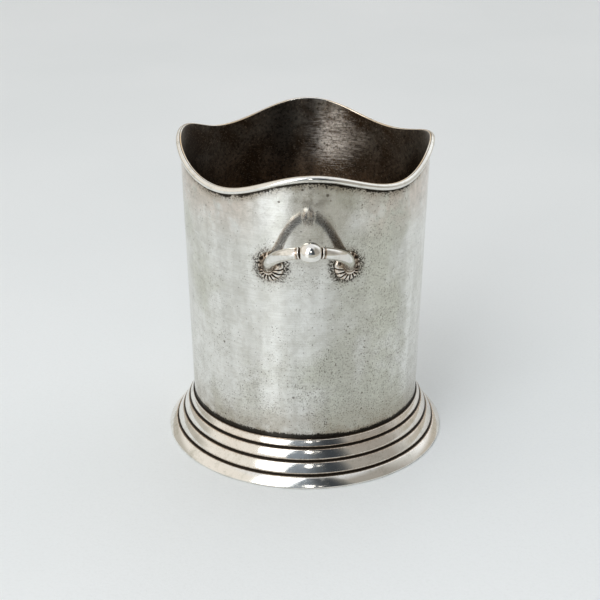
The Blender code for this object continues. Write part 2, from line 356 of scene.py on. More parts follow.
class Finish(Nodes):
    """The nodes of one material, whose patterns follow the place in the model."""

    def __init__(self, name, metallic, anisotropic=0.0):
        self.material = bpy.data.materials.new(name)
        self.material.use_nodes = True
        super().__init__(self.material.node_tree)
        self.shader = self.tree.nodes["Principled BSDF"]
        self.shader.inputs["Metallic"].default_value = metallic
        self.shader.inputs["Anisotropic"].default_value = anisotropic
        self.place = self.add("ShaderNodeNewGeometry").outputs["Position"]

    def stretched(self, x, y, z):
        """The place, scaled along each axis."""
        node = self.add("ShaderNodeVectorMath", operation="MULTIPLY")
        self.feed(node.inputs[0], self.place)
        node.inputs[1].default_value = (x, y, z)
        return node.outputs[0]

    def distance(self, place, centre):
        node = self.add("ShaderNodeVectorMath", operation="DISTANCE")
        self.feed(node.inputs[0], place)
        node.inputs[1].default_value = centre
        return node.outputs["Value"]

    def noise(self, size, detail=3.0, roughness=0.5, place=None, distortion=0.0):
        """Fractal noise from 0 to 1 whose largest features are about size metres."""
        node = self.add("ShaderNodeTexNoise")
        self.feed(node.inputs["Vector"], place or self.place)
        node.inputs["Scale"].default_value = 1 / size
        node.inputs["Detail"].default_value = detail
        node.inputs["Roughness"].default_value = roughness
        node.inputs["Distortion"].default_value = distortion
        return node.outputs["Fac"]

    def attribute(self, name):
        return self.add("ShaderNodeAttribute", attribute_name=name).outputs["Fac"]

    def spots(self, size, share, largest):
        """1 inside scattered round spots, up to largest of a cell across, in that share of the cells."""
        cell = self.add("ShaderNodeTexVoronoi")
        self.feed(cell.inputs["Vector"], self.place)
        cell.inputs["Scale"].default_value = 1 / size
        parts = self.add("ShaderNodeSeparateColor")
        self.feed(parts.inputs[0], cell.outputs["Color"])
        chosen = self.math("LESS_THAN", parts.outputs[0], share)
        reach = self.math("MULTIPLY", parts.outputs[1], largest)
        inside = self.between(self.math("SUBTRACT", cell.outputs["Distance"], reach), 0.04, -0.04)
        return self.math("MULTIPLY", chosen, inside)

    def bump(self, height, distance, under=None):
        node = self.add("ShaderNodeBump")
        node.inputs["Distance"].default_value = distance
        self.feed(node.inputs["Height"], height)
        if under is not None:
            self.feed(node.inputs["Normal"], under)
        return node.outputs["Normal"]

    def around_z(self):
        """Runs the grain of an anisotropic finish round the Z axis."""
        tangent = self.add("ShaderNodeTangent", direction_type="RADIAL", axis="Z")
        self.feed(self.shader.inputs["Tangent"], tangent.outputs[0])
        self.shader.inputs["Anisotropic Rotation"].default_value = 0.25

    def output(self, colour, roughness, normal):
        self.feed(self.shader.inputs["Base Color"], colour)
        self.feed(self.shader.inputs["Roughness"], roughness)
        self.feed(self.shader.inputs["Normal"], normal)
        return self.material


BRIGHT = (0.88, 0.865, 0.82)
WORN = (0.895, 0.895, 0.86)
DULL = (0.58, 0.57, 0.50)
ROSY = (0.78, 0.66, 0.575)
OLIVE = (0.62, 0.625, 0.52)
BARE_BRASS = (0.70, 0.47, 0.22)
BLACK = (0.020, 0.016, 0.012)
BROWN = (0.11, 0.08, 0.055)
TAN = (0.50, 0.38, 0.27)
SPECK = (0.13, 0.11, 0.085)
MOTTLE = (0.42, 0.40, 0.34)
BRUSH_MARK = (0.45, 0.43, 0.38)
STREAK = (0.42, 0.40, 0.35)
BAND = (0.42, 0.41, 0.37)
STAIN = (0.36, 0.30, 0.22)
SMUDGE = (0.25, 0.23, 0.19)
HAIRLINE = (0.40, 0.37, 0.32)
INSIDE_DARK = (0.060, 0.037, 0.021)
INSIDE_BROWN = (0.25, 0.135, 0.060)
INSIDE_BLUISH = (0.17, 0.150, 0.125)
# Bare metal inside, also the colour of the painted highlight there
INSIDE_BARE_AND_HIGHLIGHT = (0.70, 0.63, 0.56)
INSIDE_CRUMB = (0.022, 0.015, 0.010)
INSIDE_GRIT = (0.46, 0.37, 0.28)


def wall_silver():
    """The outside of the drum: brushed round its axis, clouded, peppered, and black in its corners."""
    f = Finish("wall_silver", metallic=1.0, anisotropic=1.0)
    f.around_z()
    x, _, z = f.xyz(f.place)
    cloud = f.noise(55 * MM, detail=5, roughness=0.60, distortion=0.4)
    haze = f.noise(16 * MM, detail=9, roughness=0.66, distortion=0.3)
    grainy = f.noise(1.3 * MM, detail=3, roughness=0.65)
    pitted = f.noise(0.9 * MM, detail=2, roughness=0.6)
    patches = f.noise(24 * MM, detail=4, roughness=0.6, place=f.stretched(1, 1, 1.3))
    brushed = f.noise(26 * MM, detail=4, roughness=0.6, place=f.stretched(1, 1, 34))
    upright = f.noise(1.6 * MM, detail=3, roughness=0.6, place=f.stretched(1, 1, 0.05))
    bands = f.noise(15 * MM, detail=2, roughness=0.5, place=f.stretched(1, 1, 0.08))
    lobes = f.noise(0.13 * MM, detail=0, place=f.stretched(0.5, 0.5, 1))
    mottled = f.noise(6 * MM, detail=6, roughness=0.66, distortion=0.6)

    # Heavier tarnish low down and at the centre right: real dark spots there, and at the centre right a painted
    # darker reflection as well.
    low = f.between(z, 150 * MM, 40 * MM)
    right = f.product(f.between(x, -15 * MM, 45 * MM), f.between(x, 82 * MM, 62 * MM))
    high = f.between(z, 172 * MM, 215 * MM)
    neglect_and_dark_reflection = f.between(f.total(f.product(low, 0.30), f.product(right, 0.30), cloud), 0.45, 1.05)
    olive_tarnish_and_reflection = f.product(f.between(f.total(cloud, f.product(right, 0.18)), 0.46, 0.72), 0.75)
    sideways = f.between(f.math("ABSOLUTE", x), 30 * MM, 50 * MM)
    rosy = f.product(high, f.between(haze, 0.33, 0.55), sideways)

    # Black dirt under the rim wire, above the foot and round the bosses, with ragged edges.
    ragged = f.noise(1.7 * MM, detail=4, roughness=0.75)
    uneven = f.noise(9 * MM, detail=3, roughness=0.6)
    below = f.attribute("below_edge")
    reach = f.total(f.product(ragged, 7.0 * MM), f.product(uneven, 5.0 * MM))
    under = f.math("SUBTRACT", below, reach)
    grains = f.product(f.between(under, 4.0 * MM, 0.5 * MM), f.between(pitted, 0.52, 0.60))
    rim = f.maximum(f.between(under, 0.3 * MM, -0.5 * MM), grains)
    above = f.math("SUBTRACT", z, FOOT_TOP)
    frayed = f.noise(1.1 * MM, detail=3, roughness=0.8)
    more_at_left = f.between(x, 40 * MM, -20 * MM, 0.0, MM)
    reach = f.total(f.product(frayed, 6.5 * MM), f.product(uneven, 3.5 * MM), more_at_left)
    joint = f.math("SUBTRACT", above, reach)
    foot = f.between(joint, -2.2 * MM, -3.4 * MM)
    folded = f.add("ShaderNodeVectorMath", operation="ABSOLUTE")
    f.feed(folded.inputs[0], f.place)
    boss = (BOSS_HALF_SPAN, wall_out(BOSS_HALF_SPAN), BOW_ROOT_HEIGHT)
    near = f.distance(folded.outputs[0], boss)
    reach = f.total(f.product(ragged, 6 * MM), f.product(uneven, 10 * MM))
    halo = f.between(f.math("SUBTRACT", near, reach), 6.4 * MM, 3.4 * MM)
    halo = f.product(halo, f.between(pitted, 0.44, 0.54))
    blackened = f.maximum(rim, foot, halo)
    stain = f.maximum(
        f.between(joint, 1.6 * MM, -1.6 * MM),
        f.between(below, 13 * MM, 5 * MM),
        f.between(above, 32 * MM, 3 * MM, 0.0, 0.75),
        f.between(near, 17 * MM, 8 * MM, 0.0, 0.8),
    )

    # A flat smudge above the handle, then the specks, crumbs and pits.
    smudge = f.distance(f.stretched(1, 1, 2), (2 * MM, -90 * MM, 2 * 217 * MM))
    smudge = f.product(f.between(smudge, 17 * MM, 5 * MM), f.between(uneven, 0.40, 0.56))
    around = f.between(near, 24 * MM, 9 * MM)
    specks = f.spots(1.25 * MM, f.total(0.08, f.product(neglect_and_dark_reflection, 0.5), f.product(around, 0.65)), 0.36)
    topmost = f.between(below, 30 * MM, 12 * MM)
    shares = f.total(0.06, f.product(neglect_and_dark_reflection, 0.12), f.product(around, 0.5), f.product(topmost, 0.22))
    larger = f.spots(5.5 * MM, shares, f.total(0.14, f.product(topmost, 0.12)))
    peppered = f.spots(2.2 * MM, f.product(around, 0.75), 0.24)
    deep = f.spots(12 * MM, 0.22, 0.10)
    larger = f.maximum(larger, peppered, deep)
    clusters = f.between(f.total(neglect_and_dark_reflection, haze, f.product(around, 0.35)), 0.70, 1.20)
    clusters = f.product(f.between(grainy, 0.53, 0.66), clusters)
    corroded = f.total(patches, f.product(neglect_and_dark_reflection, 0.17), f.product(around, 0.16))
    pitting = f.product(f.between(pitted, 0.60, 0.68), f.between(corroded, 0.54, 0.66))

    colour = f.mix(olive_tarnish_and_reflection, WORN, OLIVE)
    colour = f.mix(f.product(rosy, 0.8), colour, ROSY)
    colour = f.mix(f.between(haze, 0.42, 0.66, 0.0, 0.26), colour, DULL)
    strength = f.total(0.22, f.product(topmost, 0.14))
    colour = f.mix(f.between(mottled, 0.42, 0.62, 0.0, strength), colour, MOTTLE)
    colour = f.mix(f.between(brushed, 0.42, 0.68, 0.0, 0.20), colour, BRUSH_MARK)
    colour = f.mix(f.between(upright, 0.56, 0.72, 0.0, 0.14), colour, STREAK)
    colour = f.mix(f.between(bands, 0.44, 0.60, 0.0, 0.20), colour, BAND)
    colour = f.mix(f.product(stain, f.between(haze, 0.3, 0.6, 0.25, 0.75)), colour, STAIN)
    colour = f.mix(f.product(smudge, 0.6), colour, SMUDGE)
    colour = f.mix(f.product(clusters, 0.45), colour, SPECK)
    colour = f.mix(f.product(pitting, 0.85), colour, SPECK)
    colour = f.mix(f.product(specks, 0.72), colour, SPECK)
    colour = f.mix(f.product(larger, 0.85), colour, SPECK)
    colour = f.mix(f.product(blackened, 0.95), colour, BLACK)

    rough = f.total(
        f.between(lobes, 0.57, 0.63, 0.075, 0.40),
        f.product(olive_tarnish_and_reflection, 0.02),
        f.product(neglect_and_dark_reflection, 0.03),
        f.product(blackened, 0.35),
        f.product(specks, 0.2),
    )
    relief = f.total(
        f.product(brushed, 0.06),
        f.product(haze, 0.15),
        f.product(specks, -0.5),
        f.product(pitting, -0.7),
        f.product(larger, -1.0),
        f.product(blackened, 0.5),
    )
    return f.output(colour, rough, f.bump(relief, 0.03 * MM))


def tarnished_inside():
    """The inside: crumbly brown-black tarnish over the marks of turning, bluish near the mouth, with a painted
    highlight at the back right.
    """
    f = Finish("tarnished_inside", metallic=0.95, anisotropic=1.0)
    f.around_z()
    _, _, z = f.xyz(f.place)
    cloud = f.noise(26 * MM, detail=5, roughness=0.6, distortion=0.3)
    strokes = f.noise(9 * MM, detail=7, roughness=0.78, place=f.stretched(1, 1, 9))
    crumbly = f.noise(2.2 * MM, detail=6, roughness=0.82)
    grit = f.noise(1.1 * MM, detail=2, roughness=0.7)
    upper = f.between(z, 140 * MM, 215 * MM)
    tarnish = f.mix(upper, INSIDE_BROWN, INSIDE_BLUISH)
    colour = f.mix(f.between(cloud, 0.36, 0.64), INSIDE_DARK, tarnish)
    # Painted highlight: a lighter, barer patch at the back right, where the window's streak is reflected
    # inside.
    streak_highlight = f.between(f.distance(f.place, (27 * MM, 84 * MM, 202 * MM)), 38 * MM, 12 * MM)
    marks_and_highlight = f.total(f.product(cloud, 0.35), strokes, f.product(crumbly, 0.8), f.product(streak_highlight, 0.30))
    bare_and_highlight = f.between(marks_and_highlight, 1.20, 1.46, 0.0, 0.9)
    colour = f.mix(bare_and_highlight, colour, INSIDE_BARE_AND_HIGHLIGHT)
    colour = f.mix(f.between(crumbly, 0.47, 0.58, 0.0, 0.92), colour, INSIDE_CRUMB)
    colour = f.mix(f.between(grit, 0.56, 0.68, 0.0, 0.6), colour, INSIDE_GRIT)
    rough = f.between(f.total(strokes, crumbly), 0.75, 1.30, 0.36, 0.46)
    relief = f.total(f.product(strokes, 0.3), f.product(crumbly, 0.5), f.product(grit, 0.3))
    return f.output(colour, rough, f.bump(relief, 0.06 * MM))


def polished_silver(name, warmth, least_rough, wear_size, bare_edge=False):
    """Silver kept bright by handling, with fine scratches, stains and black in the marked corners, where the
    marks hold both grime and painted shade.
    """
    f = Finish(name, metallic=1.0)
    cloud = f.noise(wear_size, detail=5, roughness=0.6, distortion=0.5)
    stain = f.noise(wear_size / 6, detail=7, roughness=0.72)
    fine = f.noise(1.1 * MM, detail=4, roughness=0.7)
    hair = f.noise(0.8 * MM, detail=3, roughness=0.6, place=f.stretched(0.12, 0.12, 1))
    grime = f.attribute("grime")
    ragged = f.product(f.total(f.noise(1.3 * MM, detail=4, roughness=0.75), -0.5), 0.6)
    grime_and_shade_level = f.total(grime, ragged)
    pits = f.spots(2.0 * MM, 0.14, 0.15)

    colour = f.mix(f.between(cloud, 0.40, 0.68, 0.0, warmth), BRIGHT, ROSY)
    colour = f.mix(f.between(stain, 0.46, 0.72, 0.0, 0.65), colour, DULL)
    colour = f.mix(f.between(hair, 0.55, 0.75, 0.0, 0.18), colour, HAIRLINE)
    if bare_edge:
        worn = f.product(f.attribute("worn"), f.between(cloud, 0.36, 0.58))
        colour = f.mix(f.product(worn, 0.8), colour, BARE_BRASS)
    colour = f.mix(f.product(pits, 0.55), colour, SPECK)
    # Tan, brown, then black as the grime attribute rises: grime in joints and hollows, and painted shade.
    colour = f.mix(f.between(grime_and_shade_level, 0.06, 0.28, 0.0, 0.75), colour, TAN)
    colour = f.mix(f.between(grime_and_shade_level, 0.26, 0.50, 0.0, 0.90), colour, BROWN)
    blackened = f.between(grime_and_shade_level, 0.50, 0.70)
    colour = f.mix(blackened, colour, BLACK)
    rough = f.total(
        least_rough,
        f.between(stain, 0.44, 0.74, 0.0, 0.12),
        f.between(hair, 0.48, 0.75, 0.0, 0.09),
        f.product(blackened, 0.4),
    )
    relief = f.total(f.product(hair, 0.25), f.product(fine, 0.15), f.product(pits, -1.0))
    return f.output(colour, rough, f.bump(relief, 0.025 * MM))


WALL_SILVER = wall_silver()
INSIDE = tarnished_inside()
WIRE_SILVER = polished_silver("wire_silver", 0.12, 0.10, 45 * MM, bare_edge=True)
FOOT_SILVER = polished_silver("foot_silver", 0.34, 0.08, 60 * MM)
HANDLE_SILVER = polished_silver("handle_silver", 0.25, 0.07, 22 * MM)


# ---- the drum ----


def make_wall():
    """The rolled sheet, with its edge rounded and its surface a little uneven."""
    azimuth = all_round(WALL_COLUMNS)
    edge = mouth_height(azimuth) - EDGE_UNDER_WIRE
    half = SHEET / 2
    up = 1 - (1 - np.linspace(0, 1, WALL_OUTER_ROWS)) ** 1.5
    down = 1 - np.linspace(0, 1, WALL_INNER_ROWS) ** 1.3
    lip = np.linspace(0, math.pi, LIP_STEPS + 1)[1:-1]
    share = np.concatenate([up, np.ones(len(lip)), down])[:, None]
    outside, inside = np.zeros(WALL_OUTER_ROWS), np.zeros(WALL_INNER_ROWS)
    inward = np.concatenate([outside, half - half * np.cos(lip), inside + SHEET])[:, None]
    rise = np.concatenate([outside, half * np.sin(lip), inside])[:, None]
    height = DRUM_BOTTOM + (edge - half - DRUM_BOTTOM) * share + rise
    wall = ring_points(drum_radius(height), height, azimuth)
    uneven = dent(wall, DENT_DEPTH, DENT_SIZE, seed=3.7)
    points = ring_points(drum_radius(height) - inward + uneven, height, azimuth)
    mesh = grid_mesh("drum_wall", points, below_edge=mouth_height(azimuth) - height)
    add_piece("drum_wall", mesh, "plated_sheet", ["body_drum"], WALL_SILVER, INSIDE)
    for face in mesh.polygons:
        centre = face.center
        middle_radius = drum_radius(centre.z) - half
        face.material_index = int(math.hypot(centre.x, centre.y) < middle_radius)


def wire_section():
    """The wire's section: out from the wall, up from the edge, and each point's grime and painted reflection,
    and how worn it is.
    """
    top = WIRE_ABOVE_EDGE
    half_height, half_width = WIRE_HALF_HEIGHT, WIRE_PROUD - WIRE_CENTRE
    section = []
    for angle in np.linspace(-math.pi / 2, math.pi / 2, WIRE_STEPS + 1):
        out = WIRE_CENTRE + half_width * math.cos(angle)
        section.append((out, top - half_height + half_height * math.sin(angle)))
    section += [(0.45 * MM, top - 0.04 * MM), WIRE_SEAM, (-0.15 * MM, top - 0.04 * MM)]
    lip = (LIP_ROUND - SHEET - 0.03 * MM, top - LIP_ROUND)
    for angle in np.linspace(math.pi / 2, math.pi * 1.15, WIRE_LIP_STEPS + 1):
        section.append((lip[0] + LIP_ROUND * math.cos(angle), lip[1] + LIP_ROUND * math.sin(angle)))
    bottom = section[0][1]
    section += [(-SHEET / 2, lip[1] - LIP_ROUND), (-SHEET / 2, bottom + MM)]
    section.append((0.1 * MM, bottom + 0.2 * MM))
    section = fill_section([*section, section[0]], 0.5 * MM)[:-1]
    out, up = np.array(section).T
    from_joint = np.hypot(out - 0.2 * MM, up - bottom)
    from_seam = np.hypot(out - WIRE_SEAM[0], up - WIRE_SEAM[1])
    grime = np.clip(1.1 - from_joint / (0.9 * MM), 0, 1)
    # A dark line at the seam on top: a dark joint, and a painted reflection of the dark line that runs along
    # the wire.
    grime = np.maximum(grime, np.clip(0.9 - from_seam / (0.5 * MM), 0, 1))
    worn = np.clip(1.2 - np.hypot(out - lip[0], up - top) / (0.8 * MM), 0, 1)
    return out, up, grime, worn


def make_wire():
    """The wire soldered round the mouth, over the edge of the sheet."""
    azimuth = all_round(WIRE_COLUMNS)
    out, up, grime, worn = (values[:, None] for values in wire_section())
    height = mouth_height(azimuth) + up
    points = ring_points(drum_radius(height) + out, height, azimuth)
    uneven = dent(points, WIRE_DENT_DEPTH, WIRE_DENT_SIZE, seed=8.1) * np.clip(out / MM, 0, 1)
    points = ring_points(drum_radius(height) + out + uneven, height, azimuth)
    mesh = grid_mesh("mouth_wire", points, grime=grime, worn=worn)
    add_piece("mouth_wire", mesh, "plated_wire", ["rim_wire"], WIRE_SILVER)


def make_floor():
    """The inner floor: a turned disc with a worked ring near its edge and solder in the corner."""
    wall = drum_radius(DRUM_BOTTOM) - SHEET
    ring = FLOOR_RING * wall
    section = [
        (0, FLOOR_TOP),
        (ring - FLOOR_RING_HALF_WIDTH, FLOOR_TOP),
        (ring, FLOOR_TOP - FLOOR_RING_DEPTH),
        (ring + FLOOR_RING_HALF_WIDTH, FLOOR_TOP),
    ]
    section += [(wall + out * MM, FLOOR_TOP + up * MM) for out, up in SOLDER]
    section += [(section[-1][0], DRUM_BOTTOM), (0, DRUM_BOTTOM)]
    section = fill_section(section, 2 * MM)
    radius, height = np.array(section).T[:, :, None]
    points = ring_points(radius, height, all_round(FLOOR_COLUMNS))
    mesh = grid_mesh("inner_floor", points, closed=False)
    add_piece("inner_floor", mesh, "tarnished_floor", ["floor_disc"], INSIDE)


def fill_section(section, step):
    """Adds points to the long stretches of a section."""
    filled = [section[0]]
    for start, end in zip(section, section[1:]):
        count = max(1, math.ceil(math.dist(start, end) / step))
        for i in range(1, count + 1):
            share = i / count
            filled.append(tuple(a + (b - a) * share for a, b in zip(start, end)))
    return filled


# ---- the foot ----


def band(start, end, bulge, rounds):
    """A rolled step's section: a shallow arc whose marked ends turn quickly down into the grooves."""
    points = np.array(arc(start, end, bulge, BAND_STEPS))
    chord = points[-1] - points[0]
    length = np.hypot(*chord)
    out = np.array([-chord[1], chord[0]]) / length
    along = (points - points[0]) @ chord / length
    for gap, turned_down in ((along, rounds[0]), (length - along, rounds[1])):
        if turned_down:
            sunk = np.clip(1 - gap / GROOVE_ROUND, 0, 1) ** 2 * GROOVE_ROUND * 0.6
            points = points - out * sunk[:, None]
    return [tuple(p) for p in points]


def foot_section():
    """The foot's section from its bore outwards and back, as (radius, height), and each point's patina and
    painted shade.
    """
    bore = drum_radius(FOOT_TOP) - 0.1 * MM
    section = [(bore, FOOT_TOP - 1.2 * MM)]
    bead_start = (bore + 0.15 * MM, FOOT_TOP - 0.3 * MM)
    section += arc(bead_start, FOOT_COLLAR_TOP, FOOT_LIP_BULGE, FOOT_LIP_STEPS)
    notches = [(bore, FOOT_TOP)]
    starts = [(FOOT_COLLAR_TOP[0] + 0.1 * MM, FOOT_COLLAR_TOP[1] - 0.35 * MM), *FOOT_GROOVES]
    ends = [*FOOT_GROOVES, FOOT_BASE]
    bulges = [COLLAR_BULGE, BAND_BULGE, BAND_BULGE, BASE_BULGE]
    for start, end, bulge in zip(starts, ends, bulges):
        along = np.subtract(end, start) / math.dist(start, end)
        out = np.array([-along[1], along[0]])
        after_groove, before_groove = start in FOOT_GROOVES, end in FOOT_GROOVES
        first = np.array(start) + along * GROOVE_HALF_WIDTH * after_groove
        last = np.array(end) - along * GROOVE_HALF_WIDTH * before_groove
        section += band(first, last, bulge, (after_groove, before_groove))
        if before_groove:
            notches.append(tuple(np.array(end) - out * GROOVE_DEPTH))
            section.append(notches[-1])
    section += [(FOOT_BASE[0] - inward * MM, up * MM) for inward, up in FOOT_HEM]
    inside = [(r - FOOT_SHEET * 1.1, h - FOOT_SHEET * 0.6) for r, h in reversed(FOOT_GROOVES)]
    ledge = DRUM_BOTTOM - 0.3 * MM
    section += inside[:-1]
    section += [(inside[-1][0] - 0.4 * MM, ledge - FOOT_SHEET), (FOOT_LEDGE_BORE, ledge - FOOT_SHEET)]
    section += [(FOOT_LEDGE_BORE, ledge), (bore, ledge)]
    section = fill_section([*section, section[0]], 2.5 * MM)[:-1]
    near = np.array([min(math.dist(point, notch) for notch in notches) for point in section])
    # Black patina in the grooves, then a soft painted shade that fades out from them over the bands.
    grime = np.clip(1.3 - near / (1.7 * MM), 0, 1)
    grime = np.maximum(grime, 0.17 * np.clip(1.2 - near / (3.6 * MM), 0, 1))
    return np.array(section), grime


def make_foot():
    """The spun foot, with steps that aren't perfectly even."""
    section, grime = foot_section()
    azimuth = all_round(FOOT_COLUMNS)
    radius, height = section.T[:, :, None]
    points = ring_points(radius, height, azimuth)
    outside = np.clip((radius - FOOT_EVEN_INSIDE) / MM, 0, 1) * np.clip(height / MM - 1, 0, 1)
    uneven = dent(points, FOOT_DENT_DEPTH, FOOT_DENT_SIZE, seed=1.3) * outside
    points = ring_points(radius + uneven, height, azimuth)
    mesh = grid_mesh("spun_foot", points, grime=grime[:, None])
    add_piece("spun_foot", mesh, "plated_foot", ["stepped_foot"], FOOT_SILVER)


# ---- the handles ----


def bow_point(angle):
    """The bow's centreline at an angle from 0, at the right boss, to pi, at the left one."""
    across, along = (
        math.copysign(abs(share) ** (2 / BOW_SQUARENESS), share)
        for share in (math.cos(angle), math.sin(angle))
    )
    root_out = wall_out(BOW_HALF_SPAN)
    out = root_out + (-BEAD_CENTRE.y - root_out) * along
    height = BOW_ROOT_HEIGHT + (BEAD_CENTRE.z - BOW_ROOT_HEIGHT) * along
    return Vector((BOW_HALF_SPAN * across, -out, height))


def bow_frame(angle):
    """A place on the bow whose Z runs along it and whose X is square to the plane of the bow."""
    small = 0.001
    along = (bow_point(angle + small) - bow_point(angle - small)).normalized()
    lean = bow_point(math.pi / 2) - (bow_point(0) + bow_point(math.pi)) / 2
    square = Vector((1, 0, 0)).cross(lean).normalized()
    turn = Matrix((square, along.cross(square), along)).transposed().to_4x4()
    return Matrix.Translation(bow_point(angle)) @ turn


def boss_frame():
    """Where the right boss sits: X round the drum, Y up the wall, Z out from it."""
    radius = drum_radius(BOW_ROOT_HEIGHT)
    azimuth = math.asin(BOSS_HALF_SPAN / radius)
    outward = Vector((math.sin(azimuth), -math.cos(azimuth), -CONE_SLOPE)).normalized()
    side = Vector((0, 0, 1)).cross(outward).normalized()
    turn = Matrix((side, outward.cross(side), outward)).transposed().to_4x4()
    place = Vector((outward.x, outward.y, 0)).normalized() * radius
    return Matrix.Translation(place + Vector((0, 0, BOW_ROOT_HEIGHT))) @ turn


def bow_angle_at(distance):
    """The angle on the right arm at which the bow is this far from the bead's middle."""
    low, high = 0.0, math.pi / 2
    for _ in range(BOW_HALVINGS):
        middle = (low + high) / 2
        if (bow_point(middle) - BEAD_CENTRE).length > distance:
            low = middle
        else:
            high = middle
    return low


def arm_radius(share):
    """The arm's radius along its length: flared where it leaves the boss, thinnest at the bead."""
    flare = ARM_FLARE * max(0.0, 1 - share / ARM_FLARE_SHARE) ** 2
    return ARM_ROOT_RADIUS + (ARM_TIP_RADIUS - ARM_ROOT_RADIUS) * share + flare


def add_loop(bm, place, half_width, half_height, lift, sides):
    """A loop of vertices on an ellipse that is square to a frame's Z."""
    angles = [TURN * k / sides for k in range(sides)]
    points = [Vector((half_width * math.cos(a), half_height * math.sin(a), lift)) for a in angles]
    return [bm.verts.new(place @ point) for point in points]


def raw_casting():
    """Arm and boss of the right-hand side as overlapping closed meshes, before they are melted into one."""
    bm = bmesh.new()
    tip = bow_angle_at(BEAD_RADIUS + COLLAR_HALF)
    loops = []
    for i in range(ARM_RINGS + 1):
        share = i / ARM_RINGS
        place = bow_frame(ARM_START + (tip - ARM_START) * share)
        radius = arm_radius(share)
        loops.append(add_loop(bm, place, radius, radius, 0, ARM_SIDES))
    skin_loops(bm, loops)
    loops = []
    place = boss_frame()
    for tilt in [BOSS_SKIRT_TILT, *np.linspace(0, math.pi / 2 * 0.97, BOSS_RINGS)]:
        width = math.cos(max(tilt, 0)) ** 0.5
        lift = BOSS_DOME * math.sin(tilt) if tilt >= 0 else -BOSS_SKIRT
        half_width, half_height = BOSS_HALF_WIDTH * width, BOSS_HALF_HEIGHT * width
        loops.append(add_loop(bm, place, half_width, half_height, lift, BOSS_SIDES))
    skin_loops(bm, loops)
    for vert in bm.verts:
        least = drum_radius(vert.co.z) - ROOT_DEPTH
        radius = math.hypot(vert.co.x, vert.co.y)
        if radius < least:
            vert.co.x *= least / radius
            vert.co.y *= least / radius
    bmesh.ops.recalc_face_normals(bm, faces=bm.faces)
    mesh = bpy.data.meshes.new("raw_casting")
    bm.to_mesh(mesh)
    bm.free()
    return mesh


def skin_loops(bm, loops):
    """Faces between consecutive loops of vertices, and a cap on each end."""
    for lower, upper in zip(loops, loops[1:]):
        for k in range(len(lower)):
            after = (k + 1) % len(lower)
            bm.faces.new((lower[k], lower[after], upper[after], upper[k]))
    bm.faces.new(loops[0])
    bm.faces.new(loops[-1])


def melted(mesh):
    """The mesh remeshed into one skin, with its inner corners filled as in a casting."""
    helper = bpy.data.objects.new("melting", mesh)
    bpy.context.scene.collection.objects.link(helper)
    remesh = helper.modifiers.new("remesh", "REMESH")
    remesh.mode = "VOXEL"
    remesh.voxel_size = CAST_VOXEL
    smooth = helper.modifiers.new("smooth", "SMOOTH")
    smooth.factor = 0.5
    smooth.iterations = MELT_SMOOTHINGS
    graph = bpy.context.evaluated_depsgraph_get()
    made = bpy.data.meshes.new_from_object(helper.evaluated_get(graph), depsgraph=graph)
    bpy.data.objects.remove(helper)
    return made


def nearest_on_bow(points):
    """For each point, how far it is from the right arm's centreline, and the bow angle there."""
    angles = np.linspace(ARM_START, math.pi / 2, BOW_SAMPLES)
    line = np.array([bow_point(a) for a in angles])
    gaps = np.linalg.norm(points[:, None, :] - line[None, :, :], axis=2)
    best = gaps.argmin(axis=1)
    return gaps[np.arange(len(points)), best], angles[best]


